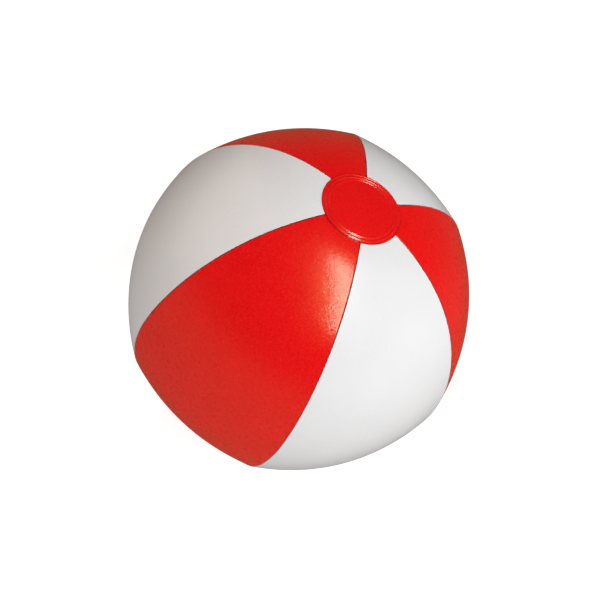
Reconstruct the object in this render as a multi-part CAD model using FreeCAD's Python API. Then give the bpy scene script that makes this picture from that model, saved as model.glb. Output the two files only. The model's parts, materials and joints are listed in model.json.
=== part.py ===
import FreeCAD, Part
import math
import os

from FreeCAD import Vector

# Inflatable beach ball: six welded film panels, a round film disc over each pole, and an
# oral inflation valve in the rear white panel. +Z runs through the poles, the origin is the
# centre of the ball, and the ball stands on its lower disc. Millimetres and degrees.

# ---- Driving dimensions: the inflated envelope ----
SEAM_RADIUS = 140.0               # axis to a seam, at the equator
POLE_HEIGHT = 0.9288 * SEAM_RADIUS  # origin to a pole: a six-panel ball inflates a little flat
SIDE_FULLNESS = 0.8046            # exponent of the seam's radius
POLE_FULLNESS = 1.0625            # exponent of the seam's height
RED_FLATNESS = 0.24               # 0 is round between two seams, 1 is a straight chord
WHITE_FLATNESS = 0.195
POLE_FLATNESS_GAIN = 0.30         # panels are that much flatter again towards the poles
ROUND_WITHIN = 0.24 * SEAM_RADIUS   # under the disc the panels are pulled fully round
FLAT_BEYOND = 0.50 * SEAM_RADIUS    # and from here outwards they are as flat as they get
SEAM_ERRORS = [0.6, 0.0, -0.6, -1.0, 1.5, -0.4]  # degrees that each weld was laid off its place

# ---- Film, seams and end discs ----
FILM = 0.22                       # thickness of the panel film
FIN_DEPTH = 3.0                   # welded margin that each panel turns inwards along a seam
TIP_RADIUS = 0.155 * SEAM_RADIUS  # the panels' tips are cut off here, under the disc
DISC_RADIUS = 0.2242 * SEAM_RADIUS
DISC_FILM = 0.26
DISC_GAP = 0.03                   # weld line between disc and panel tips
TOP_DISC_SHIFT = (-1.3, -2.7)     # the top disc was welded this far off the axis
FOOT_RADIUS = 16.0                # the lower disc is pressed flat here, where the ball stands
DISC_TRIM = 2.0                   # the discs' sheet reaches this far past the circle they are cut to

# ---- Valve, in its own frame: x towards the equator, z outwards, 0 on the film's surface ----
VALVE_LATITUDE = -50.0
PANEL_HOLE_RADIUS = 12.5
FLANGE_RADIUS = 17.0
FLANGE_THICKNESS = 0.8
FLANGE_HOLE_RADIUS = 9.5
COLLAR_WALL = 0.5
COLLAR_LIP = 0.7                  # height of its upper edge, which sits in the flange's hole
COLLAR_FIT = 0.02
COLLAR_TOP = -0.55
COLLAR_DEPTH = 5.5                # where it meets the pushed-in stem; half the stem's travel
STEM_RADIUS = 4.6
STEM_LENGTH = 14.0
LUG_ROOT = 0.6                    # how far a lug runs into the stem's wall
RIM_RADIUS = 5.6
RIM_THICKNESS = 1.0
RIM_TOP = 0.6                     # how far the pushed-in stem stands out of the film
MOUTH_RADIUS = 3.2
BORE_RADIUS = 2.75
SEAT_DEPTH = 5.4                  # the mouth tapers down to the bore over this depth
PLUG_ROOT_RADIUS = 3.15
PLUG_TIP_RADIUS = 1.9
PLUG_LENGTH = 4.5
HEAD_RADIUS = 4.4
HEAD_THICKNESS = 1.2
HEAD_CHAMFER = 0.3
STRAP_WIDTH = 4.0
STRAP_THICKNESS = 0.9
PLUG_HINGE_OFFSET = 8.0           # valve axis to the bend at the strap's root
KNUCKLE_RADIUS = 0.65
LUG_WIDTH = 3.0
LUG_OVERHANG = 0.55               # past the bend
STRAP_LIFT = 0.1                  # between the strap and the lug under it
FLAP_RADIUS = 4.0
FLAP_THICKNESS = 0.5
FLAP_HINGE_OFFSET = 5.0
FLAP_KNUCKLE_RADIUS = 0.35
FLAP_LUG_WIDTH = 2.4
FLAP_LUG_OVERHANG = 0.5
FLAP_LUG_THICKNESS = 1.0
RUNNING_GAP = 0.05                # between faces that bear on each other and move
CUT_REACH = 10.0                  # how far a cutting cylinder runs each way

# ---- Sampling of the curved film ----
ROWS = 30                         # stretches from pole to pole
COLUMNS = 12                      # stretches from seam to seam
DISC_STEPS = 10                   # stretches of a disc's half section
FLANGE_STEPS = 10                 # stretches of the flange's sheet, each way
FLANGE_SPAN = 14.0                # degrees each way that the flange's sheet is sampled over
NUDGE = 0.01                      # degrees, for slopes
SEWING_TOLERANCE = 1e-4

PANELS = [
    ("panel_red_front", RED_FLATNESS),
    ("panel_white_right", WHITE_FLATNESS),
    ("panel_red_rear_right", RED_FLATNESS),
    ("panel_white_rear", WHITE_FLATNESS),
    ("panel_red_rear_left", RED_FLATNESS),
    ("panel_white_left", WHITE_FLATNESS),
]
FIRST_SEAM = -120.0               # degrees from +X; the front panel straddles -Y
PANEL_STEP = 360.0 / len(PANELS)
VALVE_PANEL = 3


# ---- Envelope ----

def cosine(angle):
    return math.cos(math.radians(angle))


def sine(angle):
    return math.sin(math.radians(angle))


def seam_radius_at(latitude):
    return SEAM_RADIUS * cosine(latitude) ** SIDE_FULLNESS


def seam_height_at(latitude):
    height = POLE_HEIGHT * abs(sine(latitude)) ** POLE_FULLNESS
    return math.copysign(height, latitude)


def latitude_of(radius):
    """The upper latitude at which the seams have this radius."""
    return math.degrees(math.acos((radius / SEAM_RADIUS) ** (1.0 / SIDE_FULLNESS)))


def smooth_step(value):
    value = min(max(value, 0.0), 1.0)
    return value * value * (3.0 - 2.0 * value)


def seam_angle(index):
    turns = index // len(PANELS)
    wrapped = index % len(PANELS)
    return FIRST_SEAM + PANEL_STEP * wrapped + SEAM_ERRORS[wrapped] + 360.0 * turns


class Panel:
    """One film panel, from its first seam anticlockwise to its second."""

    def __init__(self, index):
        self.name, self.flatness = PANELS[index]
        self.start = seam_angle(index)
        self.end = seam_angle(index + 1)
        self.middle = 0.5 * (self.start + self.end)
        self.half_width = 0.5 * (self.end - self.start)

    def flatness_at(self, latitude):
        radius = seam_radius_at(latitude)
        fade = smooth_step((radius - ROUND_WITHIN) / (FLAT_BEYOND - ROUND_WITHIN))
        return self.flatness * fade * (1.0 + POLE_FLATNESS_GAIN * sine(latitude) ** 2)

    def point(self, latitude, angle):
        """A point of the outer surface; angle is measured from the panel's middle."""
        dip = self.flatness_at(latitude) * (1.0 - cosine(self.half_width) / cosine(angle))
        radius = seam_radius_at(latitude) * (1.0 - dip)
        turn = self.middle + angle
        return Vector(radius * cosine(turn), radius * sine(turn), seam_height_at(latitude))

    def normal(self, latitude, angle):
        along = self.point(latitude + NUDGE, angle) - self.point(latitude - NUDGE, angle)
        across = self.point(latitude, angle + NUDGE) - self.point(latitude, angle - NUDGE)
        return across.cross(along).normalize()


def seam_plane_normal(angle):
    """Unit vector square to the seam's plane, pointing anticlockwise."""
    return Vector(-sine(angle), cosine(angle), 0.0)


def seam_inward(latitude, angle):
    """Unit vector in the seam's plane, square to the seam and pointing into the ball."""
    run = seam_radius_at(latitude + NUDGE) - seam_radius_at(latitude - NUDGE)
    rise = seam_height_at(latitude + NUDGE) - seam_height_at(latitude - NUDGE)
    length = math.hypot(run, rise)
    outward = rise / length
    upward = -run / length
    return Vector(-outward * cosine(angle), -outward * sine(angle), -upward)


# ---- Surfaces and solids from sampled points ----

def spread(low, high, count):
    return [low + (high - low) * step / count for step in range(count + 1)]


def curve_through(points):
    curve = Part.BSplineCurve()
    parameters = [float(step) for step in range(len(points))]
    curve.interpolate(Points=points, Parameters=parameters)
    return curve


def surface_through(grid):
    """A smooth surface that passes through every point of a grid of rows."""
    row_curves = [curve_through(row) for row in grid]
    columns = list(zip(*[curve.getPoles() for curve in row_curves]))
    column_curves = [curve_through(list(column)) for column in columns]
    poles = [list(row) for row in zip(*[curve.getPoles() for curve in column_curves])]
    along = column_curves[0]
    across = row_curves[0]
    surface = Part.BSplineSurface()
    surface.buildFromPolesMultsKnots(
        poles, along.getMultiplicities(), across.getMultiplicities(),
        along.getKnots(), across.getKnots(), False, False, 3, 3)
    return surface.toShape()


def ruled(first_points, second_points):
    first = curve_through(first_points).toShape()
    second = curve_through(second_points).toShape()
    return Part.makeRuledSurface(first, second)


def quad(corners):
    return Part.Face(Part.makePolygon(corners + corners[:1]))


def sewn_solid(faces):
    shell = Part.Compound(faces)
    shell.sewShape(SEWING_TOLERANCE)
    if shell.ShapeType != "Shell":
        shell = shell.Shells[0]
    solid = Part.Solid(shell)
    if solid.Volume < 0:
        solid.reverse()
    return solid


def checked(name, solid):
    """Stops the build if a piece isn't one or more closed, valid solids."""
    good = solid.isValid() and solid.Volume > 0 and all(shell.isClosed() for shell in solid.Shells)
    if not good:
        raise ValueError(name + " is not a closed solid")
    return solid


def film_patch(panel, latitudes, angles, outer_depth, inner_depth):
    """A sheet that follows a panel, between two depths under its outer surface."""
    outer = [[panel.point(lat, turn) - panel.normal(lat, turn) * outer_depth
              for turn in angles] for lat in latitudes]
    inner = [[panel.point(lat, turn) - panel.normal(lat, turn) * inner_depth
              for turn in angles] for lat in latitudes]
    faces = [surface_through(outer), surface_through(inner)]
    for row in (0, -1):
        faces.append(ruled(outer[row], inner[row]))
    for column in (0, -1):
        faces.append(ruled([row[column] for row in outer], [row[column] for row in inner]))
    return sewn_solid(faces)


# ---- Panels ----

def panel_solid(panel):
    """Film with a margin turned inwards along each seam, ready to weld to its neighbours."""
    tip = latitude_of(TIP_RADIUS)
    latitudes = spread(-tip, tip, ROWS)
    angles = spread(-panel.half_width, panel.half_width, COLUMNS)
    outer = [[panel.point(lat, turn) for turn in angles] for lat in latitudes]
    inner = [[panel.point(lat, turn) - panel.normal(lat, turn) * FILM for turn in angles]
             for lat in latitudes]
    faces = [surface_through(outer)]
    fins = []
    for column, seam, side in ((0, panel.start, 1.0), (-1, panel.end, -1.0)):
        sideways = seam_plane_normal(seam) * (side * FILM)
        inward = [seam_inward(lat, seam) for lat in latitudes]
        edge = [row[column] for row in outer]
        fin_edge = [point + depth * FIN_DEPTH for point, depth in zip(edge, inward)]
        fin_back = [point + sideways for point in fin_edge]
        root = [point + sideways + depth * FILM for point, depth in zip(edge, inward)]
        for row, point in zip(inner, root):
            row[column] = point
        faces += [ruled(edge, fin_edge), ruled(fin_edge, fin_back), ruled(fin_back, root)]
        fins.append((edge, fin_edge, fin_back, root))
    faces.append(surface_through(inner))
    for end in (0, -1):
        faces.append(ruled(outer[end], inner[end]))
        for fin in fins:
            faces.append(quad([line[end] for line in fin]))
    return sewn_solid(faces)


# ---- End discs ----

def disc_half_section(offset, foot_radius, reach):
    """Points from the axis out, at an offset over the envelope, level out to foot_radius."""
    foot_height = seam_height_at(latitude_of(foot_radius)) + offset
    points = []
    for radius in spread(foot_radius, reach, DISC_STEPS):
        points.append(Vector(radius, 0, seam_height_at(latitude_of(radius)) + offset))
    return Vector(0, 0, foot_height), points


def end_disc(foot_radius, shift):
    """A disc of film that lies over the panels' tips and is trimmed to a circle."""
    reach = DISC_RADIUS + math.hypot(*shift) + DISC_TRIM
    edges = []
    corners = []
    for offset in (DISC_GAP, DISC_GAP + DISC_FILM):
        middle, points = disc_half_section(offset, foot_radius, reach)
        edges.append(curve_through(points).toShape())
        if foot_radius > 0:
            edges.append(Part.makeLine(middle, points[0]))
        corners.append((middle, points[-1]))
    (low_middle, low_rim), (high_middle, high_rim) = corners
    edges.append(Part.makeLine(low_rim, high_rim))
    edges.append(Part.makeLine(high_middle, low_middle))
    section = Part.Face(Part.Wire(Part.__sortEdges__(edges)))
    sheet = section.revolve(Vector(0, 0, 0), Vector(0, 0, 1), 360)
    base = Vector(shift[0], shift[1], POLE_HEIGHT - 0.5 * DISC_RADIUS)
    return sheet.common(Part.makeCylinder(DISC_RADIUS, DISC_RADIUS, base)).Solids[0]


# ---- Valve ----

def valve_placement(panel):
    """The valve's frame: origin on the film, x towards the equator, z outwards."""
    outwards = panel.normal(VALVE_LATITUDE, 0.0)
    sideways = seam_plane_normal(panel.middle)
    upwards = sideways.cross(outwards).normalize()
    if upwards.z < 0:
        upwards = upwards * -1.0
    rotation = FreeCAD.Rotation(upwards, outwards.cross(upwards), outwards, "ZXY")
    return FreeCAD.Placement(panel.point(VALVE_LATITUDE, 0.0), rotation)


def turned(outline):
    """A solid of revolution about the valve's axis, from (radius, height) corners."""
    corners = [Vector(radius, 0, height) for radius, height in outline]
    section = Part.Face(Part.makePolygon(corners + corners[:1]))
    return section.revolve(Vector(0, 0, 0), Vector(0, 0, 1), 360)


def block(x_range, width, z_range):
    corner = Vector(x_range[0], -0.5 * width, z_range[0])
    return Part.makeBox(x_range[1] - x_range[0], width, z_range[1] - z_range[0], corner)


def punch(radius, placement):
    """A long cylinder on the valve's axis, for cutting through the film."""
    cylinder = Part.makeCylinder(radius, 2.0 * CUT_REACH, Vector(0, 0, -CUT_REACH))
    cylinder.Placement = placement
    return cylinder


def pivot_rod(offset, height, radius, width):
    """A round bar along y, centred on a bend."""
    return Part.makeCylinder(radius, width, Vector(offset, -0.5 * width, height), Vector(0, 1, 0))


STEM_BOTTOM = RIM_TOP - STEM_LENGTH
PLUG_HINGE_HEIGHT = RIM_TOP + STRAP_LIFT + 0.5 * STRAP_THICKNESS
FLAP_TOP = STEM_BOTTOM - RUNNING_GAP
FLAP_HINGE_HEIGHT = FLAP_TOP - 0.5 * FLAP_THICKNESS


def flange_solid(panel, placement):
    """A washer moulded to the panel's inner face, which it is welded to."""
    latitudes = spread(VALVE_LATITUDE - FLANGE_SPAN, VALVE_LATITUDE + FLANGE_SPAN, FLANGE_STEPS)
    angles = spread(-FLANGE_SPAN, FLANGE_SPAN, FLANGE_STEPS)
    top = FILM + DISC_GAP
    sheet = film_patch(panel, latitudes, angles, top, top + FLANGE_THICKNESS)
    ring = punch(FLANGE_RADIUS, placement).cut(punch(FLANGE_HOLE_RADIUS, placement))
    return sheet.common(ring).Solids[0]


def collar_solid():
    """The thin cone that turns inside out as the stem is pulled: flange hole to stem."""
    outer = FLANGE_HOLE_RADIUS - COLLAR_FIT
    inner = STEM_RADIUS + RUNNING_GAP
    return turned([
        (outer, COLLAR_TOP),
        (outer, COLLAR_TOP - COLLAR_LIP),
        (inner, -COLLAR_DEPTH - COLLAR_WALL),
        (inner, -COLLAR_DEPTH),
        (outer - COLLAR_WALL, COLLAR_TOP),
    ])


def stem_solid():
    """The tube one blows into, with a lug for the plug's strap and one for the flap."""
    tube = turned([
        (BORE_RADIUS, STEM_BOTTOM),
        (STEM_RADIUS, STEM_BOTTOM),
        (STEM_RADIUS, RIM_TOP - RIM_THICKNESS),
        (RIM_RADIUS, RIM_TOP - RIM_THICKNESS),
        (RIM_RADIUS, RIM_TOP),
        (MOUTH_RADIUS, RIM_TOP),
        (BORE_RADIUS, RIM_TOP - SEAT_DEPTH),
    ])
    inside = STEM_RADIUS - LUG_ROOT
    lug = block((inside, PLUG_HINGE_OFFSET + LUG_OVERHANG), LUG_WIDTH,
                (RIM_TOP - RIM_THICKNESS, RIM_TOP))
    saddle = pivot_rod(PLUG_HINGE_OFFSET, PLUG_HINGE_HEIGHT, KNUCKLE_RADIUS + RUNNING_GAP,
                       STRAP_WIDTH)
    flap_lug = block((-FLAP_HINGE_OFFSET - FLAP_LUG_OVERHANG, -inside), FLAP_LUG_WIDTH,
                     (STEM_BOTTOM, STEM_BOTTOM + FLAP_LUG_THICKNESS))
    flap_saddle = pivot_rod(-FLAP_HINGE_OFFSET, FLAP_HINGE_HEIGHT,
                            FLAP_KNUCKLE_RADIUS + RUNNING_GAP, 2.0 * FLAP_LUG_WIDTH)
    stem = tube.fuse([lug.cut(saddle), flap_lug.cut(flap_saddle)])
    return stem.removeSplitter().Solids[0]


def plug_solid():
    """A tapered stopper under a round head that rests on the stem's rim."""
    seat = RIM_TOP + RUNNING_GAP
    return turned([
        (0.0, seat - PLUG_LENGTH),
        (PLUG_TIP_RADIUS, seat - PLUG_LENGTH),
        (PLUG_ROOT_RADIUS, seat),
        (HEAD_RADIUS, seat),
        (HEAD_RADIUS, seat + HEAD_THICKNESS - HEAD_CHAMFER),
        (HEAD_RADIUS - HEAD_CHAMFER, seat + HEAD_THICKNESS),
        (0.0, seat + HEAD_THICKNESS),
    ])


def strap_solid():
    """The tether from the plug's head to the bend on the stem's lug."""
    low = PLUG_HINGE_HEIGHT - 0.5 * STRAP_THICKNESS
    high = PLUG_HINGE_HEIGHT + 0.5 * STRAP_THICKNESS
    strap = block((0.0, PLUG_HINGE_OFFSET), STRAP_WIDTH, (low, high))
    strap = strap.cut(Part.makeCylinder(HEAD_RADIUS, 2.0 * CUT_REACH, Vector(0, 0, -CUT_REACH)))
    knuckle = pivot_rod(PLUG_HINGE_OFFSET, PLUG_HINGE_HEIGHT, KNUCKLE_RADIUS, STRAP_WIDTH)
    return strap.fuse(knuckle).removeSplitter().Solids[0]


def flap_solid():
    """The check flap that air pressure lays over the stem's inner end."""
    low = FLAP_TOP - FLAP_THICKNESS
    disc = Part.makeCylinder(FLAP_RADIUS, FLAP_THICKNESS, Vector(0, 0, low))
    tail = block((-FLAP_HINGE_OFFSET, 0.0), FLAP_LUG_WIDTH, (low, FLAP_TOP))
    knuckle = pivot_rod(-FLAP_HINGE_OFFSET, FLAP_HINGE_HEIGHT, FLAP_KNUCKLE_RADIUS,
                        FLAP_LUG_WIDTH)
    return disc.fuse([tail, knuckle]).removeSplitter().Solids[0]


# ---- Assembly ----

def build():
    pieces = {}
    panels = [Panel(index) for index in range(len(PANELS))]
    for panel in panels:
        pieces[panel.name] = panel_solid(panel)

    valve_panel = panels[VALVE_PANEL]
    placement = valve_placement(valve_panel)
    hole = punch(PANEL_HOLE_RADIUS, placement)
    pieces[valve_panel.name] = pieces[valve_panel.name].cut(hole).Solids[0]

    pieces["end_disc_top"] = end_disc(0.0, TOP_DISC_SHIFT)
    lower = end_disc(FOOT_RADIUS, (0.0, 0.0))
    lower.rotate(Vector(0, 0, 0), Vector(1, 0, 0), 180)
    pieces["end_disc_bottom"] = lower

    pieces["valve_flange"] = flange_solid(valve_panel, placement)
    valve_parts = {
        "valve_collar": collar_solid(),
        "valve_stem": stem_solid(),
        "valve_plug": plug_solid(),
        "plug_strap": strap_solid(),
        "valve_flap": flap_solid(),
    }
    for name, solid in valve_parts.items():
        solid.Placement = placement
        pieces[name] = solid
    return pieces


os.makedirs("parts", exist_ok=True)
pieces = build()
for name, solid in pieces.items():
    checked(name, solid).exportStep("parts/" + name + ".step")
    print("%-22s %9.1f mm3" % (name, solid.Volume))
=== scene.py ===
import json
import math

import bpy
import numpy as np
from mathutils import Matrix, Vector


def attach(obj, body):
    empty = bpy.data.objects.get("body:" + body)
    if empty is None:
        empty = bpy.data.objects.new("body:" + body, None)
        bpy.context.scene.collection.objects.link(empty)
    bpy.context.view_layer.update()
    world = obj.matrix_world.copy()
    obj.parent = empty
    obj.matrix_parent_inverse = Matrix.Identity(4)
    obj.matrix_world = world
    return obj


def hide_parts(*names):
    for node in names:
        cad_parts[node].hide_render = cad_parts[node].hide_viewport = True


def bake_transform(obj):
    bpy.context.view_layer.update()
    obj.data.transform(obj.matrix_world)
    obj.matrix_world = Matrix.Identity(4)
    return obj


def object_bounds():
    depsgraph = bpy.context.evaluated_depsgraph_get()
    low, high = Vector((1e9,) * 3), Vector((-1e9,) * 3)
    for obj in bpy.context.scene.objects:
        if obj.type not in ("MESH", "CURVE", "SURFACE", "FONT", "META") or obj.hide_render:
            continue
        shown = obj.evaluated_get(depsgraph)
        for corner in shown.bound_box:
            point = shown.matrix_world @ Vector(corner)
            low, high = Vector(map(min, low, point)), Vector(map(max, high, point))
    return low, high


# The looks of an inflated beach ball: welded film panels, end discs with pressed weld rings,
# and a soft vinyl valve. Lengths are metres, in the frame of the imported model; millimetre
# values are written as a number times MM. Angles are degrees, and a latitude runs from -90
# at the lower pole to 90 at the upper one.

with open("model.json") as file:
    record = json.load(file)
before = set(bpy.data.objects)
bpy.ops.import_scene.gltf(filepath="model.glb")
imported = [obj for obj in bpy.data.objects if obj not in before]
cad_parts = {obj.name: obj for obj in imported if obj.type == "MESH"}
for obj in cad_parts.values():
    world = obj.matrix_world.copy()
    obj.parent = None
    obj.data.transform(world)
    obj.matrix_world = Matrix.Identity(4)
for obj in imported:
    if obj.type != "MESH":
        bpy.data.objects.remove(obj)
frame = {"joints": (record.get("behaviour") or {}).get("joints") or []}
cad_low, cad_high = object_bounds()

MM = 0.001

# ---- The envelope, taken from the frame, with the CAD model's shape constants ----
FILM = 0.22 * MM
DISC_FILM = 0.26 * MM
DISC_GAP = 0.03 * MM              # air between a disc and the panels' tips
SEAM_RADIUS = 0.5 * (cad_high.x - cad_low.x)
POLE_HEIGHT = cad_high.z - DISC_FILM - DISC_GAP
FLOOR_HEIGHT = cad_low.z
SIDE_FULLNESS = 0.8046            # power of the cosine that gives a seam's radius
POLE_FULLNESS = 1.0625            # power of the sine that gives its height
RED_FLATNESS = 0.24               # 0 is a round panel and 1 is flat between its seams
WHITE_FLATNESS = 0.195
POLE_FLATNESS_GAIN = 0.30
ROUND_WITHIN = 0.24 * SEAM_RADIUS
FLAT_BEYOND = 0.50 * SEAM_RADIUS
FIRST_SEAM = -120.0
PANEL_STEP = 60.0
SEAM_ERRORS = [0.6, 0.0, -0.6, -1.0, 1.5, -0.4]    # degrees off even spacing
TIP_RADIUS = 0.155 * SEAM_RADIUS  # where a panel's tip is cut off, under the disc
FIN_DEPTH = 3.0 * MM              # of the welding margins inside the ball
DISC_RADIUS = 0.2242 * SEAM_RADIUS
TOP_DISC_SHIFT = (-1.3 * MM, -2.7 * MM)
FOOT_RADIUS = 16.0 * MM           # of the flat that the ball stands on

PANELS = [
    ("panel_red_front", RED_FLATNESS, "red_film"),
    ("panel_white_right", WHITE_FLATNESS, "white_film"),
    ("panel_red_rear_right", RED_FLATNESS, "red_film"),
    ("panel_white_rear", WHITE_FLATNESS, "white_film"),
    ("panel_red_rear_left", RED_FLATNESS, "red_film"),
    ("panel_white_left", WHITE_FLATNESS, "white_film"),
]
VALVE_PANEL = 3

DISCS = [
    ("end_disc_top", TOP_DISC_SHIFT, 0.0, False),
    ("end_disc_bottom", (0.0, 0.0), FOOT_RADIUS, True),
]

# ---- The valve: its place comes from the frame's joints, its sizes from the CAD model ----
VALVE_LATITUDE = -50.0
PANEL_HOLE_RADIUS = 12.5 * MM
FLANGE_RADIUS = 17.0 * MM
FLANGE_THICKNESS = 0.8 * MM
FLANGE_HOLE_RADIUS = 9.5 * MM
STEM_RADIUS = 4.6 * MM
STEM_BOTTOM = -13.4 * MM
RIM_RADIUS = 5.6 * MM
RIM_TOP = 0.6 * MM
RIM_HEIGHT = 1.0 * MM
MOUTH_RADIUS = 3.2 * MM
BORE_RADIUS = 2.75 * MM
SEAT_DEPTH = 5.4 * MM
HEAD_RADIUS = 4.4 * MM
HEAD_TOP = 1.85 * MM
STOPPER_LENGTH = 4.5 * MM
STRAP_WIDTH = 4.0 * MM
STRAP_THICKNESS = 0.9 * MM
PLUG_HINGE_OFFSET = 8.0 * MM
PLUG_HINGE_HEIGHT = 1.15 * MM
FLAP_RADIUS = 4.0 * MM
FLAP_HINGE_OFFSET = 5.0 * MM
FLAP_HINGE_HEIGHT = -13.7 * MM
VALVE_SIDE = -50.0 * MM           # film above this height in the valve's frame is on its side

# ---- Relief of the panels' film ----
WELD_REACH = 0.5 * MM             # how far from a seam its pressed line dies away
RED_WELD_DEPTH = 0.45 * MM
WHITE_WELD_DEPTH = 0.05 * MM
FOLD_REACH = 1.5 * MM             # how far from a seam the film turns into its margin
CLEAR_REACH = 2.2 * MM            # how far from a seam the inner skin keeps off its neighbour's
PUCKER_HEIGHT = 0.045 * MM
PUCKER_PITCH = 11.0 * MM
PUCKER_GROUP = 60.0 * MM          # the stretch over which puckers come and go
PUCKER_START = 1.0 * MM           # how far from a seam they start and die away
PUCKER_REACH = 7.0 * MM
PUCKER_SEEDS = (11, 31)           # of the first panel's two seams; each next panel adds one
PUCKER_TILT = 0.3                 # makes the waves differ above and below the equator
GROUP_SEED_STEP = 7
SLACK_START = 12.0 * MM           # distance from a seam at which the slack is full
SLACK_HEIGHT = 0.10 * MM
SLACK_WAVES = (41.0 * MM, 47.0 * MM, 53.0 * MM)
SLACK_TURNS = (1.3, 0.7, 2.1)     # where the waves start, in radians; the first is for each panel
VALVE_WELD_FROM = 13.2 * MM       # radii of the ring welded to the flange
VALVE_WELD_TO = 16.3 * MM
VALVE_WELD_BLEND = 0.5 * MM
VALVE_WELD_DEPTH = 0.10 * MM
VALVE_WELD_RIB_PITCH = 0.8 * MM
VALVE_WELD_BEAD = (0.06 * MM, 0.35 * MM)    # height and width of the bead over the flange's edge

# ---- Relief of the end discs; places and widths are shares of a disc's radius ----
DISC_WELD_FROM = 0.755            # the pressed stretch, and the widths of its two edges
DISC_WELD_TO = 0.95
DISC_WELD_EDGES = (0.03, 0.02)
DISC_WELD_HEIGHT = -0.05 * MM
DISC_RIM_FROM = 0.955
DISC_RIM_EDGE = 0.02
DISC_RIM_HEIGHT = 0.22 * MM
DISC_WANDER = (0.012, 0.005)      # how far the welds are off round: once and three times a turn
DISC_WANDER_TURNS = (-2.2, 1.0)   # in radians
DISC_WANDER_BAND = (0.88, 0.08)   # the place and width of the band that wanders
DISC_RIDGES = [                   # (place, height, width) of two weld rings and two grooves
    (0.812, 0.40 * MM, 0.017),
    (0.858, -0.14 * MM, 0.014),
    (0.900, 0.38 * MM, 0.016),
    (0.945, -0.16 * MM, 0.014),
]
DISC_EDGE = [(0.997, 0.96), (1.0, 0.75), (1.0, 0.3), (0.999, 0.0)]    # (place, share of height)
DISC_UNDERSIDE = [0.96, 0.8, 0.6, 0.4, 0.2, 0.03]

# ---- Mesh density ----
NUDGE = 0.02                      # degrees to either side, for a direction along a surface
ON_AXIS = 1e-7                    # a radius below this is a point on the axis
ROWS = 200                        # stretches of a panel from tip to tip
COLUMNS = 36                      # stretches across a panel between its two edge strips
EDGE_STEPS = [0.0, 0.12, 0.25, 0.4, 0.6, 0.85, 1.3, 2.1]    # millimetres from the seam
SHADED_SEAM_STEPS = 5                    # strips beside a seam given painted shade, for the shade in the weld's groove
PATCH_LATITUDE = 9.0              # the fine patch round the valve: degrees up and down
PATCH_SHARE = 0.46                # and its share of the panel's width
PATCH_ROWS = 90
PATCH_COLUMNS = 80
PATCH_ROW_GAP = 0.5               # least space between the patch and the coarse rows, degrees
PATCH_COLUMN_GAP = 0.02
DISC_SEGMENTS = 240
DISC_PLAIN_RINGS = 20             # from 0.03 to 0.74 of a disc's radius
DISC_WELD_RINGS = 60              # from 0.75 to 0.992, over its welds and rim
SHADED_RIM_RINGS = 3                # rings at a disc's edge given painted shade, for the shade under its rim
LATHE_SEGMENTS = 72
ROUND_STEPS = 4                   # stretches of a lathed shape's rounded corner
LONGEST_ROUND = 0.45              # the most of a side that its rounded corner takes up
BAR_CORNER_STEPS = 3

# ---- Colours: the two ends of a film's clouds, and its specks of painted glint ----
RED_COLOURS = [(0.79, 0.0008, 0.0050), (0.83, 0.0014, 0.0060), (0.90, 0.0100, 0.0100)]
DISC_COLOURS = [(0.78, 0.0010, 0.0040), (0.82, 0.0020, 0.0050), (0.90, 0.0100, 0.0100)]
# The dark red below is painted shade, for the seams' grooves and the discs' rims.
SEAM_SHADE_COLOURS = [(0.12, 0.0010, 0.0040), (0.14, 0.0020, 0.0060), (0.16, 0.0040, 0.0070)]
WHITE_COLOURS = [(0.80, 0.80, 0.80), (0.82, 0.82, 0.82), (0.84, 0.83, 0.82)]
VINYL_COLOURS = [(0.70, 0.73, 0.75), (0.80, 0.82, 0.83)]
RED_SHEEN = (0.40, 0.58, 0.22)
WHITE_SHEEN = (1.0, 1.0, 1.0)
HAZE_TINT = (1.0, 0.35, 0.08)

# ---- Grain: noise scales are features in a metre ----
GRAIN_SCALE = 800.0
SPARKLE_SCALE = 1200.0
CLOUD_SCALE = 38.0
DULLNESS_SCALE = 210.0
DIMPLE_SCALE = 240.0
DIMPLE_DEPTH = 0.020 * MM
DULLNESS_SPREAD = 0.04
NOISE_SPREAD = (0.35, 0.65)       # where nearly all of a noise's values lie
GLINT_SPREAD = (0.45, 0.75)       # the grain values that turn into specks of painted glint

# ---- Camera and studio ----
CAMERA_AZIMUTH = -82.34           # degrees from +X
CAMERA_ELEVATION = 50.52
CAMERA_ROLL = 35.81               # the ball's axis leans this far to the right in the view
CAMERA_DISTANCE = 7.664 * SEAM_RADIUS
LENS = 80.0
SENSOR_WIDTH = 36.0
BALL_SHIFT = (0.00105, -0.00213)  # the ball's centre from the view's centre, in view widths
WORLD_COLOUR = (1.0, 0.80, 0.68, 1.0)
WORLD_STRENGTH = 0.06
FLOOR_SHADE = 0.40
BACKDROP_SHADE = 0.1
FLOOR_GLOW = 0.91                 # near the ball
FAR_GLOW = 0.96
NEAR, FAR = 0.3, 1.0              # distances from the ball between which the glow goes up
STUDIO_HALF = 5.0
BACKDROP_SEGMENTS = 48


# ---- Small numeric helpers ----

def cosine(angle):
    return np.cos(np.radians(angle))


def sine(angle):
    return np.sin(np.radians(angle))


def smooth_step(value):
    value = np.clip(value, 0.0, 1.0)
    return value * value * (3.0 - 2.0 * value)


def unit(vectors):
    return vectors / np.linalg.norm(vectors, axis=-1, keepdims=True)


def bump(value, centre, width):
    """A smooth rise of height 1 at centre that has died away by about two widths."""
    return np.exp(-((value - centre) / width) ** 2)


def ripple(along, seed, pitch):
    """A smooth wandering value between about -1 and 1, with waves about a pitch long."""
    phases = np.random.default_rng(seed).uniform(0.0, 2.0 * math.pi, 5)
    stretches = [0.61, 0.83, 1.0, 1.31, 1.73]
    total = sum(np.sin(2.0 * math.pi * along * stretch / pitch + phase)
                for stretch, phase in zip(stretches, phases))
    return total / 2.6


# ---- The envelope ----

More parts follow.
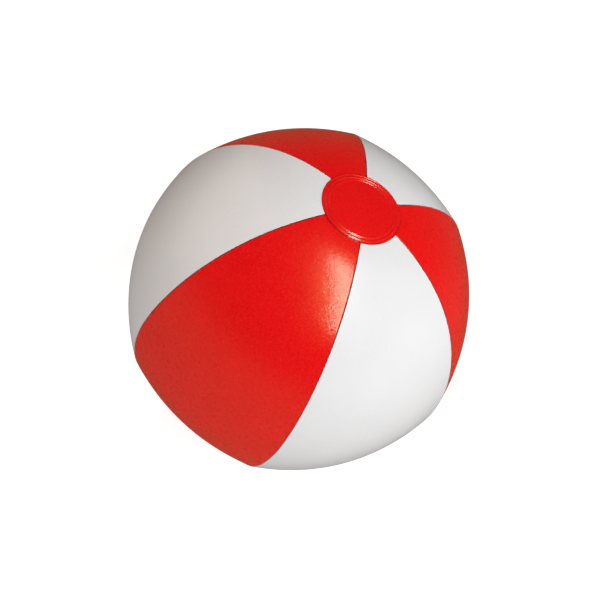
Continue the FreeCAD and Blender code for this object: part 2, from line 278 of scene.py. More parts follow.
def seam_radius_at(latitude):
    return SEAM_RADIUS * cosine(latitude) ** SIDE_FULLNESS


def seam_height_at(latitude):
    return np.sign(latitude) * POLE_HEIGHT * np.abs(sine(latitude)) ** POLE_FULLNESS


def latitude_of(radius):
    share = np.clip(radius / SEAM_RADIUS, 0.0, 1.0)
    return np.degrees(np.arccos(share ** (1.0 / SIDE_FULLNESS)))


def seam_angle(index):
    turns, wrapped = divmod(index, len(PANELS))
    return FIRST_SEAM + PANEL_STEP * wrapped + SEAM_ERRORS[wrapped] + 360.0 * turns


def seam_inward(latitude, angle):
    """Unit vectors in the seam's plane, square to the seam and pointing into the ball."""
    run = seam_radius_at(latitude + NUDGE) - seam_radius_at(latitude - NUDGE)
    rise = seam_height_at(latitude + NUDGE) - seam_height_at(latitude - NUDGE)
    inward = np.stack([-rise * cosine(angle), -rise * sine(angle), run], -1)
    return unit(inward)


class Panel:
    """One film panel, from its first seam anticlockwise to its second."""

    def __init__(self, index):
        self.name, self.flatness, self.slot = PANELS[index]
        self.index = index
        self.start = seam_angle(index)
        self.end = seam_angle(index + 1)
        self.middle = 0.5 * (self.start + self.end)
        self.half_width = 0.5 * (self.end - self.start)
        self.weld_depth = RED_WELD_DEPTH if self.slot == "red_film" else WHITE_WELD_DEPTH

    def points(self, latitude, angle):
        """Points of the smooth outer surface; angle is measured from the panel's middle."""
        radius = seam_radius_at(latitude)
        fade = smooth_step((radius - ROUND_WITHIN) / (FLAT_BEYOND - ROUND_WITHIN))
        flatness = self.flatness * fade * (1.0 + POLE_FLATNESS_GAIN * sine(latitude) ** 2)
        radius = radius * (1.0 - flatness * (1.0 - cosine(self.half_width) / cosine(angle)))
        turn = self.middle + angle
        height = seam_height_at(latitude) * np.ones_like(radius)
        return np.stack([radius * cosine(turn), radius * sine(turn), height], -1)

    def normals(self, latitude, angle):
        along = self.points(latitude + NUDGE, angle) - self.points(latitude - NUDGE, angle)
        across = self.points(latitude, angle + NUDGE) - self.points(latitude, angle - NUDGE)
        return unit(np.cross(across, along))

    def seam_distance(self, latitude, angle):
        """Distance along the film to the nearer seam."""
        return np.radians(self.half_width - np.abs(angle)) * seam_radius_at(latitude)


# ---- The valve's place ----

def valve_place():
    """The valve's frame: origin on the film, x towards the equator, z along the stem's slide."""
    slide = next(joint for joint in frame["joints"] if joint["name"] == "stem_pull")
    hinge = next(joint for joint in frame["joints"] if joint["name"] == "plug_hinge")
    outwards = Vector(slide["axis"]).normalized()
    sideways = Vector(hinge["axis"]).normalized()
    upwards = sideways.cross(outwards).normalized()
    origin = Vector(hinge["pos_m"]) - upwards * PLUG_HINGE_OFFSET - outwards * PLUG_HINGE_HEIGHT
    turn = Matrix((upwards, sideways, outwards)).transposed().to_4x4()
    return Matrix.Translation(origin) @ turn


VALVE_PLACE = valve_place()
VALVE_ORIGIN = np.array(VALVE_PLACE.translation)
VALVE_TURN = np.array(VALVE_PLACE.to_3x3())


# ---- Mesh helpers ----

def add_mesh(name, vertices, faces, sharp_angle=40.0):
    mesh = bpy.data.meshes.new(name)
    mesh.from_pydata([tuple(point) for point in vertices], [], [tuple(face) for face in faces])
    mesh.validate()
    mesh.shade_smooth()
    mesh.set_sharp_from_angle(angle=math.radians(sharp_angle))
    piece = bpy.data.objects.new(name, mesh)
    bpy.context.scene.collection.objects.link(piece)
    return piece


def ring_faces(rings, around):
    """Quads between closed rings of points that are numbered ring by ring."""
    faces = []
    for ring in range(rings - 1):
        here = ring * around
        above = here + around
        for step in range(around):
            beside = (step + 1) % around
            faces.append((here + step, here + beside, above + beside, above + step))
    return faces


def lathe(name, outline):
    """A closed shape turned about the valve's axis, from (radius, height) points in order."""
    turns = np.linspace(0.0, 2.0 * math.pi, LATHE_SEGMENTS, endpoint=False)
    vertices = []
    rings = []
    for radius, height in outline:
        first = len(vertices)
        if radius < ON_AXIS:
            vertices.append((0.0, 0.0, height))
        else:
            vertices += [(radius * math.cos(turn), radius * math.sin(turn), height) for turn in turns]
        rings.append(range(first, len(vertices)))
    if len(rings[0]) > 1:
        rings.append(rings[0])
    faces = []
    for low, high in zip(rings, rings[1:]):
        for step in range(LATHE_SEGMENTS):
            after = (step + 1) % LATHE_SEGMENTS
            if len(low) == 1:
                faces.append((low[0], high[after], high[step]))
            elif len(high) == 1:
                faces.append((low[step], low[after], high[0]))
            else:
                faces.append((low[step], low[after], high[after], high[step]))
    piece = add_mesh(name, vertices, faces)
    piece.data.transform(VALVE_PLACE)
    return piece


def rounded(corners, radius):
    """An outline with each corner off the axis turned into a short curve."""
    outline = []
    for index, corner in enumerate(corners):
        here = Vector(corner)
        before = Vector(corners[index - 1]) - here
        after = Vector(corners[(index + 1) % len(corners)]) - here
        if here.x < ON_AXIS:
            outline.append(tuple(here))
            continue
        reach = min(radius, LONGEST_ROUND * before.length, LONGEST_ROUND * after.length)
        first = here + before.normalized() * reach
        last = here + after.normalized() * reach
        for step in range(ROUND_STEPS + 1):
            share = step / ROUND_STEPS
            outline.append(tuple(first.lerp(here, share).lerp(here.lerp(last, share), share)))
    return outline


def bar(name, stations, height, corner):
    """A flat rounded strip along the valve's x, from (x, width, thickness) stations."""
    quarters = [(1, 1, 0.0), (-1, 1, 90.0), (-1, -1, 180.0), (1, -1, 270.0)]
    vertices = []
    for x, width, thickness in stations:
        for side, level, start in quarters:
            for step in range(BAR_CORNER_STEPS + 1):
                turn = math.radians(start + 90.0 * step / BAR_CORNER_STEPS)
                y = side * (0.5 * width - corner) + corner * math.cos(turn)
                z = level * (0.5 * thickness - corner) + corner * math.sin(turn)
                vertices.append((x, y, height + z))
    around = len(vertices) // len(stations)
    faces = [face[::-1] for face in ring_faces(len(stations), around)]
    last = len(vertices) - around
    faces.append(tuple(range(around)))
    faces.append(tuple(reversed(range(last, last + around))))
    piece = add_mesh(name, vertices, faces, sharp_angle=50.0)
    piece.data.transform(VALVE_PLACE)
    return piece


def join(name, parts):
    """Several closed shapes as one piece."""
    bpy.ops.object.select_all(action="DESELECT")
    for part in parts:
        part.select_set(True)
    bpy.context.view_layer.objects.active = parts[0]
    bpy.ops.object.join()
    joined = bpy.context.view_layer.objects.active
    joined.name = name
    joined.data.name = name
    return joined


# ---- Panels ----

def panel_grid(panel):
    """Latitudes and angles of a panel's outer skin, closely spaced beside the seams."""
    tip = latitude_of(TIP_RADIUS)
    latitudes = np.linspace(-tip, tip, ROWS + 1)
    shares = np.linspace(-1.0, 1.0, COLUMNS + 1)[1:-1]
    if panel.index == VALVE_PANEL:
        low, high = VALVE_LATITUDE - PATCH_LATITUDE, VALVE_LATITUDE + PATCH_LATITUDE
        beyond = (latitudes < low - PATCH_ROW_GAP) | (latitudes > high + PATCH_ROW_GAP)
        fine = np.linspace(low, high, PATCH_ROWS + 1)
        latitudes = np.sort(np.concatenate([latitudes[beyond], fine]))
        beyond = np.abs(shares) > PATCH_SHARE + PATCH_COLUMN_GAP
        fine = np.linspace(-PATCH_SHARE, PATCH_SHARE, PATCH_COLUMNS + 1)
        shares = np.sort(np.concatenate([shares[beyond], fine]))
    edge = np.array(EDGE_STEPS) * MM
    edge_angles = np.degrees(edge[None, :] / seam_radius_at(latitudes)[:, None])
    inner_half = panel.half_width - edge_angles[:, -1:]
    left = -panel.half_width + edge_angles
    right = panel.half_width - edge_angles[:, ::-1]
    angles = np.concatenate([left, inner_half * shares[None, :], right], axis=1)
    return latitudes[:, None] * np.ones_like(angles), angles


def seam_relief(panel, latitude, angle, height):
    """How far the film dips towards the weld, less the small puckers that run into it."""
    distance = panel.seam_distance(latitude, angle)
    dip = panel.weld_depth * np.exp(-(distance / WELD_REACH) ** 2)
    along = np.abs(height) + seam_radius_at(latitude)
    pucker = np.zeros_like(distance)
    for side, first_seed in zip((angle < 0, angle >= 0), PUCKER_SEEDS):
        seed = first_seed + panel.index
        waves = ripple(along + PUCKER_TILT * height, seed, PUCKER_PITCH)
        swell = ripple(along, seed + GROUP_SEED_STEP, PUCKER_GROUP)
        pucker += side * waves * (0.5 + 0.5 * swell)
    grow = 1.0 - np.exp(-distance / PUCKER_START)
    pucker *= PUCKER_HEIGHT * grow * np.exp(-distance / PUCKER_REACH)
    return dip - pucker


def slack(panel, points):
    """The faint unevenness of a hand-filled panel."""
    turn_x, turn_y, turn_z = SLACK_TURNS
    starts = np.array([turn_x * panel.index, turn_y, turn_z])
    waves = np.sin(points / np.array(SLACK_WAVES) + starts)
    return SLACK_HEIGHT * np.prod(waves, axis=-1)


def weld_ring_relief(distance):
    """The ribbed ring that is welded to the valve's flange, with a bead round it."""
    pressed = smooth_step((distance - VALVE_WELD_FROM) / VALVE_WELD_BLEND)
    pressed *= 1.0 - smooth_step((distance - VALVE_WELD_TO) / VALVE_WELD_BLEND)
    ribs = 0.5 + 0.5 * np.cos(2.0 * math.pi * distance / VALVE_WELD_RIB_PITCH)
    bead_height, bead_width = VALVE_WELD_BEAD
    bead = bead_height * bump(distance, FLANGE_RADIUS, bead_width)
    return bead - VALVE_WELD_DEPTH * pressed * (0.55 + 0.45 * ribs)


def valve_distance(points):
    """Distances from the valve's axis, and whether each is on the valve's side of the ball."""
    local = (points - VALVE_ORIGIN) @ VALVE_TURN
    return np.hypot(local[..., 0], local[..., 1]), local[..., 2] > VALVE_SIDE


def tip_faces(rows, columns, around):
    """Quads across a panel's tube at both tips, wound against the tube's own faces."""
    strips = [(column, column + 1, around - 4 - column, around - 3 - column)
              for column in range(columns - 1)]
    strips.append((columns - 1, columns, columns + 1, columns + 2))
    strips.append((around - 3, around - 2, around - 1, 0))
    last = (rows - 1) * around
    return strips + [tuple(last + corner for corner in reversed(strip)) for strip in strips]


def cut_hole(vertices, faces, hole, around):
    """Opens both skins inside the valve's hole, rounds the rim and closes its edge."""
    inside = set()
    partner = {}
    for row, column in np.ndindex(hole.shape):
        outer = row * around + column
        inner = row * around + around - 3 - column
        partner[outer] = inner
        if hole[row, column]:
            inside.update((outer, inner))
    kept = [face for face in faces if len(inside.intersection(face)) <= 1]
    edges = dict.fromkeys(edge for face in kept for edge in zip(face, face[1:] + face[:1]))
    # The quads at the panel's tips are wound the other way, so the tips' edges count as open
    # too, and their points move with the rim's. They stay inside the ball, out of sight.
    open_edges = [(a, b) for a, b in edges if (b, a) not in edges]
    rim = sorted({corner for edge in open_edges for corner in edge})
    local = (vertices[rim] - VALVE_ORIGIN) @ VALVE_TURN
    local[:, :2] *= PANEL_HOLE_RADIUS / np.hypot(local[:, :1], local[:, 1:2])
    vertices[rim] = local @ VALVE_TURN.T + VALVE_ORIGIN
    outer_edges = [(a, b) for a, b in open_edges if a in partner and b in partner]
    kept += [(b, a, partner[a], partner[b]) for a, b in outer_edges]
    used = sorted({corner for face in kept for corner in face})
    renumber = {old: new for new, old in enumerate(used)}
    return vertices[used], [tuple(renumber[corner] for corner in face) for face in kept]


def build_panel(panel):
    """A closed film shell with its welded margins, as one tube of cross-sections."""
    latitude, angle = panel_grid(panel)
    rows, columns = latitude.shape
    smooth = panel.points(latitude, angle)
    normal = panel.normals(latitude, angle)
    distance = panel.seam_distance(latitude, angle)
    inward = seam_inward(latitude, panel.middle + np.sign(angle) * panel.half_width)
    near_seam = np.exp(-(distance / FOLD_REACH) ** 2)[..., None]
    sink_way = unit(near_seam * inward - (1.0 - near_seam) * normal)
    sink = seam_relief(panel, latitude, angle, smooth[..., 2])
    lift = slack(panel, smooth) * smooth_step(distance / SLACK_START)
    outer = smooth + sink_way * sink[..., None] + normal * lift[..., None]
    if panel.index == VALVE_PANEL:
        away, near_valve = valve_distance(smooth)
        outer += normal * np.where(near_valve, weld_ring_relief(away), 0.0)[..., None]

    first_side = np.array([-sine(panel.start), cosine(panel.start), 0.0])
    last_side = np.array([sine(panel.end), -cosine(panel.end), 0.0])
    sideways = np.where((angle < 0)[..., None], first_side, last_side)
    clear = np.clip(1.0 - distance / CLEAR_REACH, 0.0, 1.0)[..., None]
    inner = outer - normal * FILM + sideways * FILM * clear

    def margin(column, side):
        """The two lines of a margin's free edge, the face against its neighbour first."""
        edge = smooth[:, column] + inward[:, column] * FIN_DEPTH
        return np.stack([edge, edge + side * FILM], axis=1)

    first_margin = margin(0, first_side)[:, ::-1]
    last_margin = margin(-1, last_side)
    tube = np.concatenate([outer, last_margin, inner[:, ::-1], first_margin], axis=1)
    around = tube.shape[1]
    vertices = tube.reshape(-1, 3)
    faces = ring_faces(rows, around) + tip_faces(rows, columns, around)
    if panel.index == VALVE_PANEL:
        hole = (away < PANEL_HOLE_RADIUS) & near_valve
        vertices, faces = cut_hole(vertices, faces, hole, around)
    return add_mesh(panel.name + "_film", vertices, faces, sharp_angle=55.0)


def paint_seam_shade(piece, material):
    """Paints shade into the pressed grooves along both seams of a red panel, with a dark red material.
    """
    piece.data.materials.append(material)
    columns = COLUMNS - 1 + 2 * len(EDGE_STEPS)
    around = 2 * columns + 4
    for face in piece.data.polygons[:ROWS * around]:
        column = face.index % around
        across = min(column, columns - 1 - column)
        if 0 <= across < SHADED_SEAM_STEPS:
            face.material_index = 1


# ---- End discs ----

def ring_relief(share):
    """Height of the disc's two weld rings and rim over its plain film; share of its radius."""
    inner_edge, outer_edge = DISC_WELD_EDGES
    pressed = smooth_step((share - DISC_WELD_FROM) / inner_edge)
    pressed = pressed * (1.0 - smooth_step((share - DISC_WELD_TO) / outer_edge))
    height = DISC_WELD_HEIGHT * pressed
    for place, ridge, width in DISC_RIDGES:
        height = height + ridge * bump(share, place, width)
    return height + DISC_RIM_HEIGHT * smooth_step((share - DISC_RIM_FROM) / DISC_RIM_EDGE)


def dome_height(radius, foot_radius):
    """Height of the panels under a disc, flat inside the foot."""
    height = seam_height_at(latitude_of(radius))
    if foot_radius > 0:
        height = np.minimum(height, seam_height_at(latitude_of(foot_radius)))
    return height


def disc_rings(shift, foot_radius):
    """Rings of a disc's points, outwards over its upper face and back under it."""
    turns = np.linspace(0.0, 2.0 * math.pi, DISC_SEGMENTS, endpoint=False)
    wander = DISC_WANDER[0] * np.cos(turns + DISC_WANDER_TURNS[0])
    wander += DISC_WANDER[1] * np.sin(3.0 * turns + DISC_WANDER_TURNS[1])

    def ring(share, lift):
        x = shift[0] + DISC_RADIUS * share * np.cos(turns)
        y = shift[1] + DISC_RADIUS * share * np.sin(turns)
        return np.stack([x, y, dome_height(np.hypot(x, y), foot_radius) + lift], -1)

    plain = np.linspace(0.03, 0.74, DISC_PLAIN_RINGS)
    welded = np.linspace(0.75, 0.992, DISC_WELD_RINGS)
    rings = []
    for share in np.concatenate([plain, welded]):
        relief = ring_relief(share + wander * bump(share, *DISC_WANDER_BAND))
        rings.append(ring(share, DISC_GAP + DISC_FILM + relief))
    edge_thickness = DISC_FILM + ring_relief(1.0)
    for share, level in DISC_EDGE:
        rings.append(ring(share, DISC_GAP + edge_thickness * level))
    rings += [ring(share, DISC_GAP) for share in DISC_UNDERSIDE]
    return rings


def build_disc(name, shift, foot_radius, upside_down):
    """A film disc over the panels' tips, with pressed weld rings and a rounded rim."""
    rings = disc_rings(shift, foot_radius)
    middle = dome_height(np.hypot(*shift), foot_radius) + DISC_GAP
    middles = np.array([(*shift, middle + DISC_FILM), (*shift, middle)])
    vertices = np.concatenate(rings + [middles])
    faces = [face[::-1] for face in ring_faces(len(rings), DISC_SEGMENTS)]
    last_ring = (len(rings) - 1) * DISC_SEGMENTS
    upper_middle = len(rings) * DISC_SEGMENTS
    for step in range(DISC_SEGMENTS):
        after = (step + 1) % DISC_SEGMENTS
        faces.append((upper_middle, step, after))
        faces.append((upper_middle + 1, last_ring + after, last_ring + step))
    if upside_down:
        vertices[:, 1:] *= -1.0
    return add_mesh(name + "_film", vertices, faces, sharp_angle=60.0)


def paint_rim_shade(piece, material):
    """Paints shade on the outer edge of a disc, under its rim, with a dark red material."""
    piece.data.materials.append(material)
    first = (DISC_PLAIN_RINGS + DISC_WELD_RINGS - 1) * DISC_SEGMENTS
    for face in piece.data.polygons[first:first + SHADED_RIM_RINGS * DISC_SEGMENTS]:
        face.material_index = 1


# ---- Valve ----

def build_flange():
    """A dished washer behind the film, with a bead round its hole."""
    film_bend = 128.0 * MM
    depth = 0.25 * MM
    steps = 12
    bead_in, bead_out = 0.2 * MM, 0.35 * MM

    def under_film(radius, further=0.0):
        return radius, -depth - radius ** 2 / (2.0 * film_bend) - further

    outline = [
        under_film(FLANGE_HOLE_RADIUS, 0.15 * MM),
        under_film(FLANGE_HOLE_RADIUS, 0.55 * MM),
    ]
    for radius in np.linspace(FLANGE_HOLE_RADIUS + bead_in, FLANGE_RADIUS - 0.2 * MM, steps):
        outline.append(under_film(radius, FLANGE_THICKNESS))
    outline.append(under_film(FLANGE_RADIUS, 0.3 * MM))
    for radius in np.linspace(FLANGE_RADIUS - 0.2 * MM, FLANGE_HOLE_RADIUS + bead_out, steps):
        outline.append(under_film(radius))
    return lathe("valve_flange_moulding", outline)


def build_collar():
    """The thin cone between flange and stem, with the rings it rolls on."""
    thickness = 0.45 * MM
    top_depth = 0.62 * MM
    fall = 4.9 * MM
    ring_height = 0.07 * MM
    ring_waves = 4.5
    steps = 28
    top_radius = FLANGE_HOLE_RADIUS - 0.02 * MM
    low_radius = STEM_RADIUS + 0.05 * MM
    cone_radius = top_radius - 0.3 * MM
    upper = []
    for step in range(steps + 1):
        share = step / steps
        radius = cone_radius + (low_radius - cone_radius) * share
        wave = ring_height * math.sin(2.0 * math.pi * ring_waves * share)
        upper.append((radius, wave - top_depth - fall * share ** 1.15))
    lower = [(radius, height - thickness) for radius, height in upper]
    edge = [(top_radius, -0.7 * MM), (top_radius, -1.1 * MM)]
    return lathe("valve_collar_membrane", lower + upper[::-1] + edge)


def build_stem():
    """The tube with its rolled rim, the strap's lug and the flap's lug."""
    corners = [
        (BORE_RADIUS, STEM_BOTTOM),
        (STEM_RADIUS, STEM_BOTTOM),
        (STEM_RADIUS, RIM_TOP - RIM_HEIGHT),
        (RIM_RADIUS, RIM_TOP - RIM_HEIGHT),
        (RIM_RADIUS, RIM_TOP),
        (MOUTH_RADIUS, RIM_TOP),
        (BORE_RADIUS, RIM_TOP - SEAT_DEPTH),
    ]
    tube = lathe("stem_tube", rounded(corners, 0.25 * MM))
    root = STEM_RADIUS - 0.4 * MM
    tip = PLUG_HINGE_OFFSET + 0.5 * MM
    thickness = 0.96 * MM
    stations = [
        (root, 4.2 * MM, thickness),
        (root + 1.0 * MM, 3.4 * MM, thickness),
        (root + 2.0 * MM, 3.0 * MM, thickness),
        (tip - 0.4 * MM, 3.0 * MM, thickness),
        (tip - 0.1 * MM, 2.7 * MM, thickness - 0.10 * MM),
        (tip, 2.4 * MM, thickness - 0.26 * MM),
    ]
    strap_lug = bar("stem_lug", stations, RIM_TOP - 0.5 * RIM_HEIGHT, 0.2 * MM)
    stations = [(-offset * MM, 2.4 * MM, 0.9 * MM) for offset in (5.45, 4.6, 4.0)]
    flap_lug = bar("flap_lug", stations, STEM_BOTTOM + 0.5 * MM, 0.15 * MM)
    return join("valve_stem_moulding", [tube, strap_lug, flap_lug])


def build_plug():
    """The tapered stopper under a domed head with a finger dimple."""
    seat = RIM_TOP + 0.05 * MM
    dimple_radius = 2.2 * MM
    corners = [
        (0.0, seat - STOPPER_LENGTH),
        (1.9 * MM, seat - STOPPER_LENGTH),
        (MOUTH_RADIUS - 0.05 * MM, seat),
        (HEAD_RADIUS, seat),
        (HEAD_RADIUS, HEAD_TOP - 0.3 * MM),
        (HEAD_RADIUS - 0.5 * MM, HEAD_TOP),
        (dimple_radius, HEAD_TOP),
        (dimple_radius - 0.6 * MM, HEAD_TOP - 0.25 * MM),
        (0.0, HEAD_TOP - 0.3 * MM),
    ]
    return lathe("valve_plug_moulding", rounded(corners, 0.2 * MM))


def build_strap():
    """The tether: waisted, with a thin groove across it at the bend and a rounded end."""
    start = HEAD_RADIUS - 0.25 * MM
    end = PLUG_HINGE_OFFSET + 0.62 * MM
    middle = 0.5 * (HEAD_RADIUS + PLUG_HINGE_OFFSET)
    steps = 40
    stations = []
    for step in range(steps + 1):
        x = start + (end - start) * step / steps
        waist = 0.7 * MM * bump(x, middle, 1.0 * MM)
        groove = 0.36 * MM * bump(x, PLUG_HINGE_OFFSET, 0.28 * MM)
        rounding = 1.1 * MM * max(0.0, 1.0 - (end - x) / (0.5 * MM)) ** 2
        stations.append((x, STRAP_WIDTH - waist - rounding, STRAP_THICKNESS - groove))
    return bar("plug_strap_moulding", stations, PLUG_HINGE_HEIGHT, 0.22 * MM)


def build_flap():
    """The thin check flap and its tail."""
    top = STEM_BOTTOM - 0.05 * MM
    bottom = top - 0.5 * MM
    corners = [(0.0, bottom), (FLAP_RADIUS, bottom), (FLAP_RADIUS, top), (0.0, top)]
    disc = lathe("flap_disc", rounded(corners, 0.12 * MM))
    thickness = 0.46 * MM
    stations = [
        (-FLAP_HINGE_OFFSET - 0.2 * MM, 2.0 * MM, thickness),
        (-FLAP_HINGE_OFFSET, 2.4 * MM, thickness),
        (-FLAP_RADIUS - 0.2 * MM, 2.4 * MM, thickness),
        (-FLAP_RADIUS + 1.0 * MM, 2.8 * MM, thickness),
    ]
    tail = bar("flap_tail", stations, FLAP_HINGE_HEIGHT, 0.12 * MM)
    return join("valve_flap_moulding", [disc, tail])


# ---- Materials ----

class Nodes:
    """A new node material with a Principled shader, and short ways to add to it."""

    def __init__(self, name):
        self.material = bpy.data.materials.new(name)
        self.material.use_nodes = True
        self.tree = self.material.node_tree
        self.shader = self.tree.nodes["Principled BSDF"]
        self.place = self.add("ShaderNodeTexCoord").outputs["Object"]

    def add(self, kind, **settings):
        node = self.tree.nodes.new(kind)
        for key, value in settings.items():
            setattr(node, key, value)
        return node

    def link(self, source, target):
        self.tree.links.new(source, target)

    def feed(self, **sources):
        """Links values to the shader's sockets; an underscore stands for a space."""
        for key, source in sources.items():
            self.link(source, self.shader.inputs[key.replace("_", " ")])

    def set(self, **values):
        """Sets the shader's sockets; an underscore stands for a space."""
        for key, value in values.items():
            self.shader.inputs[key.replace("_", " ")].default_value = value

    def noise(self, scale, detail):
        node = self.add("ShaderNodeTexNoise")
        node.inputs["Scale"].default_value = scale
        node.inputs["Detail"].default_value = detail
        self.link(self.place, node.inputs["Vector"])
        return node.outputs["Fac"]

    def clouds(self, value, low, high):
        """Colours between low and high, over the spread of a noise."""
        node = self.add("ShaderNodeValToRGB")
        for stop, position, colour in zip(node.color_ramp.elements, NOISE_SPREAD, (low, high)):
            stop.position = position
            stop.color = (*colour, 1.0)
        self.link(value, node.inputs["Fac"])
        return node.outputs["Color"]

    def levels(self, value, low, high, start=0.0, stop=1.0):
        """Values between low and high as value goes from start to stop."""
        node = self.add("ShaderNodeMapRange")
        node.inputs["From Min"].default_value = start
        node.inputs["From Max"].default_value = stop
        node.inputs["To Min"].default_value = low
        node.inputs["To Max"].default_value = high
        self.link(value, node.inputs["Value"])
        return node.outputs["Result"]

    def paint_glint_specks(self, value, colour, glint_colour):
        """The colour with painted glints: specks of another, lighter colour where value is high."""
        node = self.add("ShaderNodeMix", data_type="RGBA")
        # A mix node has sockets for every kind of data: these are its factor and its colours.
        factor, first, second = (node.inputs[place] for place in (0, 6, 7))
        self.link(self.levels(value, 0.0, 1.0, *GLINT_SPREAD), factor)
        self.link(colour, first)
        second.default_value = (*glint_colour, 1.0)
        return node.outputs[2]

    def bumps(self, layers):
        """Chains (height, strength, distance) layers of bump into one normal."""
        normal = None
        for height, strength, distance in layers:
            node = self.add("ShaderNodeBump")
            node.inputs["Strength"].default_value = strength
            node.inputs["Distance"].default_value = distance
            self.link(height, node.inputs["Height"])
            if normal is not None:
                self.link(normal, node.inputs["Normal"])
            normal = node.outputs["Normal"]
        return normal


def film_material(name, colours, sheen, grain, gloss, sparkle, haze, dullness):
    """Vinyl film: fine embossed grain under a thin gloss, with faint cloudiness in its colour and
    lighter specks painted on the grain's crests as glints.
    """
    nodes = Nodes(name)
    low, high, glint_colour = colours
    grains = nodes.noise(GRAIN_SCALE, detail=1.0)
    clouds = nodes.clouds(nodes.noise(CLOUD_SCALE, detail=3.0), low, high)
    dull = nodes.levels(nodes.noise(DULLNESS_SCALE, detail=3.0),
                        dullness - DULLNESS_SPREAD, dullness + DULLNESS_SPREAD)
    shine = nodes.levels(nodes.noise(SPARKLE_SCALE, detail=1.0),
                         0.5 - sparkle, 0.5 + sparkle, *NOISE_SPREAD)
    dimples = nodes.noise(DIMPLE_SCALE, detail=2.0)
    normal = nodes.bumps([(grains, 1.0, grain), (dimples, 1.0, DIMPLE_DEPTH)])
    # The base colour has lighter specks on the grain's crests: painted glints.
    nodes.feed(Base_Color=nodes.paint_glint_specks(grains, clouds, glint_colour), Roughness=dull)
    nodes.feed(Specular_IOR_Level=shine, Normal=normal, Coat_Normal=normal)
    nodes.set(IOR=1.55, Specular_Tint=(*sheen, 1.0))
    nodes.set(Coat_Weight=gloss, Coat_Roughness=0.13, Coat_IOR=1.5)
    nodes.set(Sheen_Weight=haze, Sheen_Roughness=0.5, Sheen_Tint=(*HAZE_TINT, 1.0))
    return nodes.material


def valve_material():
    """Milky soft vinyl: slightly cloudy, fine moulding grain, soft gloss."""
    nodes = Nodes("milky_vinyl")
    clouds = nodes.clouds(nodes.noise(260.0, detail=3.0), *VINYL_COLOURS)
    dull = nodes.levels(nodes.noise(900.0, detail=2.0), 0.26, 0.40)
    grains = nodes.noise(2600.0, detail=2.0)
    dimples = nodes.noise(420.0, detail=2.0)
    normal = nodes.bumps([(grains, 0.15, 0.02 * MM), (dimples, 0.10, 0.05 * MM)])
    nodes.feed(Base_Color=clouds, Roughness=dull, Normal=normal)
    nodes.set(IOR=1.52, Subsurface_Weight=0.35, Subsurface_Scale=1.5 * MM)
    return nodes.material


def plain_material(name, shade, near_glow, far_glow):
    """A matt white surface that reads as paper white, with its own glow near and far."""
    nodes = Nodes(name)
    clouds = nodes.clouds(nodes.noise(9.0, detail=2.0), (shade - 0.01,) * 3, (shade + 0.01,) * 3)
    reach = nodes.add("ShaderNodeVectorMath", operation="LENGTH")
    nodes.link(nodes.place, reach.inputs[0])
    glow = nodes.levels(reach.outputs["Value"], near_glow, far_glow, NEAR, FAR)
    nodes.feed(Base_Color=clouds, Emission_Strength=glow)
    nodes.set(Roughness=0.9, Specular_IOR_Level=0.1, Emission_Color=(1.0, 1.0, 1.0, 1.0))
    return nodes.material


def finish_piece(piece, material, slot, body, *replaced):
    """Gives a piece its material, hides the CAD nodes it replaces and gives it its body when one is
    given; slot is not used.
    """
    piece.data.materials.append(material)
    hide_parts(*replaced)
    if body:
        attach(piece, body)
    return piece


# ---- Camera and light ----

def view_axes():
    """The camera's right, up and backward directions."""
    azimuth = math.radians(CAMERA_AZIMUTH)
    elevation = math.radians(CAMERA_ELEVATION)
    back = Vector((math.cos(elevation) * math.cos(azimuth),
                   math.cos(elevation) * math.sin(azimuth),
                   math.sin(elevation)))
    level_right = Vector((0.0, 0.0, 1.0)).cross(back).normalized()
    roll = Matrix.Rotation(math.radians(CAMERA_ROLL), 3, back)
    right = roll @ level_right
    return right, back.cross(right), back


def add_camera():
    right, up, back = view_axes()
    data = bpy.data.cameras.new("camera")
    data.lens = LENS
    data.sensor_width = SENSOR_WIDTH
    data.clip_start = 10.0 * MM
    data.shift_x, data.shift_y = BALL_SHIFT
    camera = bpy.data.objects.new("camera", data)
    turn = Matrix((right, up, back)).transposed().to_4x4()
    camera.matrix_world = Matrix.Translation(back * CAMERA_DISTANCE) @ turn
    bpy.context.scene.collection.objects.link(camera)
    bpy.context.scene.camera = camera


def add_softbox(name, direction, distance, size, radiance, colour, lean=0.0):
    """A rectangular light aimed at the ball; direction is (right, up, back) of the view."""
    right, up, back = view_axes()
    way = (direction[0] * right + direction[1] * up + direction[2] * back).normalized()
    across = up.cross(way).normalized()
    turn = Matrix((across, way.cross(across), way)).transposed().to_4x4()
    data = bpy.data.lights.new(name, "AREA")
    data.shape = "RECTANGLE"
    data.size, data.size_y = size
    data.energy = radiance * math.pi * size[0] * size[1]
    data.color = colour
    lamp = bpy.data.objects.new(name, data)
    lean_turn = Matrix.Rotation(math.radians(lean), 4, "Z")
    lamp.matrix_world = Matrix.Translation(way * distance) @ turn @ lean_turn
    lamp.visible_camera = False
    bpy.context.scene.collection.objects.link(lamp)
    return lamp


def add_world():
    world = bpy.data.worlds.new("studio")
    world.use_nodes = True
    shade = world.node_tree.nodes["Background"]
    shade.inputs["Color"].default_value = WORLD_COLOUR
    shade.inputs["Strength"].default_value = WORLD_STRENGTH
    bpy.context.scene.world = world


def add_floor():
    """A wide plain floor that takes the ball's faint shadow."""
    corners = [(side * STUDIO_HALF, end * STUDIO_HALF, FLOOR_HEIGHT)
               for side, end in ((-1, -1), (1, -1), (1, 1), (-1, 1))]
    floor = add_mesh("floor", corners, [(0, 1, 2, 3)])
    floor.data.materials.append(plain_material("pale_floor", FLOOR_SHADE, FLOOR_GLOW, FAR_GLOW))
    floor.visible_glossy = False


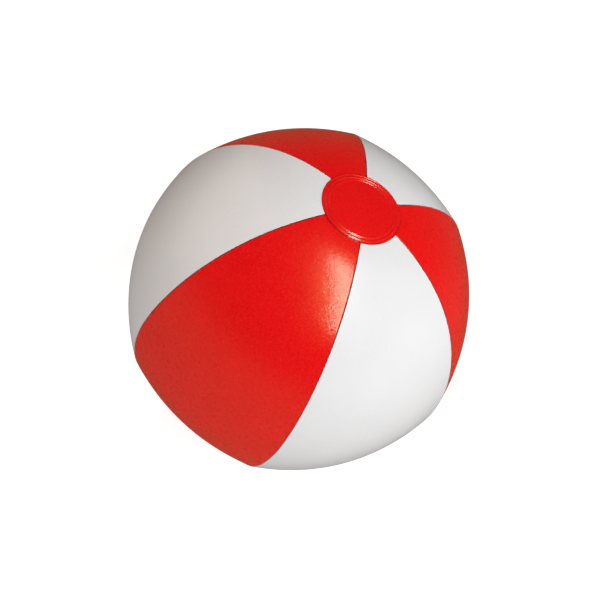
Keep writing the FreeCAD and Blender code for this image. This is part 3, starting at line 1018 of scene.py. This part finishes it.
def add_backdrop():
    """A plain dome round the floor that lights nothing and shows in no reflection."""
    wall = STUDIO_HALF - 0.1
    profile = [(wall, FLOOR_HEIGHT - 10.0 * MM), (wall, 2.0), (3.0, 4.5), (0.2, STUDIO_HALF)]
    turns = np.linspace(0.0, 2.0 * math.pi, BACKDROP_SEGMENTS, endpoint=False)
    vertices = [(radius * math.cos(turn), radius * math.sin(turn), height)
                for radius, height in profile for turn in turns]
    faces = ring_faces(len(profile), BACKDROP_SEGMENTS)
    backdrop = add_mesh("backdrop", vertices, faces, sharp_angle=180.0)
    backdrop.data.materials.append(plain_material("pale_backdrop", BACKDROP_SHADE, FAR_GLOW, FAR_GLOW))
    backdrop.visible_glossy = False
    backdrop.visible_diffuse = False
    backdrop.visible_shadow = False


# ---- Build ----

scene = bpy.context.scene
scene.view_settings.view_transform = "Standard"
scene.view_settings.look = "None"

add_camera()

red_film = film_material("red_film", RED_COLOURS, RED_SHEEN, grain=0.09 * MM,
                         gloss=0.35, sparkle=0.36, haze=0.15, dullness=0.28)
disc_film = film_material("disc_film", DISC_COLOURS, RED_SHEEN, grain=0.08 * MM,
                          gloss=0.8, sparkle=0.20, haze=0.0, dullness=0.31)
# A dark red film that paints the shade in the seams' grooves and under the discs' rims.
red_seam_shade = film_material("red_seam_shade", SEAM_SHADE_COLOURS, RED_SHEEN, grain=0.03 * MM,
                         gloss=0.4, sparkle=0.10, haze=0.0, dullness=0.31)
white_film = film_material("white_film", WHITE_COLOURS, WHITE_SHEEN, grain=0.05 * MM,
                           gloss=0.4, sparkle=0.10, haze=0.0, dullness=0.31)
milky_vinyl = valve_material()

films = {"red_film": red_film, "white_film": white_film}
for index in range(len(PANELS)):
    panel = Panel(index)
    piece = build_panel(panel)
    finish_piece(piece, films[panel.slot], panel.slot, "ball", panel.name)
    if panel.slot == "red_film":
        # Painted shade in the red panel's seam grooves.
        paint_seam_shade(piece, red_seam_shade)

for name, shift, foot_radius, upside_down in DISCS:
    piece = build_disc(name, shift, foot_radius, upside_down)
    finish_piece(piece, disc_film, "disc_film", "ball", name)
    # Painted shade under the disc's rim.
    paint_rim_shade(piece, red_seam_shade)

finish_piece(build_flange(), milky_vinyl, "valve_pvc", "ball", "valve_flange")
finish_piece(build_stem(), milky_vinyl, "valve_pvc", "stem", "valve_stem")
finish_piece(build_plug(), milky_vinyl, "valve_pvc", "plug", "valve_plug")
finish_piece(build_flap(), milky_vinyl, "valve_pvc", "flap", "valve_flap")

collar = finish_piece(build_collar(), milky_vinyl, "valve_pvc", None, "valve_collar")
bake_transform(collar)
strap = finish_piece(build_strap(), milky_vinyl, "valve_pvc", None, "plug_strap")
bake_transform(strap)

add_floor()
add_backdrop()
add_world()
add_softbox("key_softbox", direction=(0.42, 0.15, 0.90), distance=1.4, size=(0.30, 1.22),
            radiance=15.0, colour=(0.97, 0.985, 1.0), lean=-17.0)
add_softbox("left_softbox", direction=(-0.62, 0.75, 0.2), distance=1.6, size=(1.6, 1.6),
            radiance=0.70, colour=(1.0, 0.72, 0.54))
fill = add_softbox("right_softbox", direction=(0.90, -0.25, -0.05), distance=1.6, size=(1.6, 1.6),
                   radiance=1.45, colour=(1.0, 0.98, 0.98))
fill.visible_glossy = False
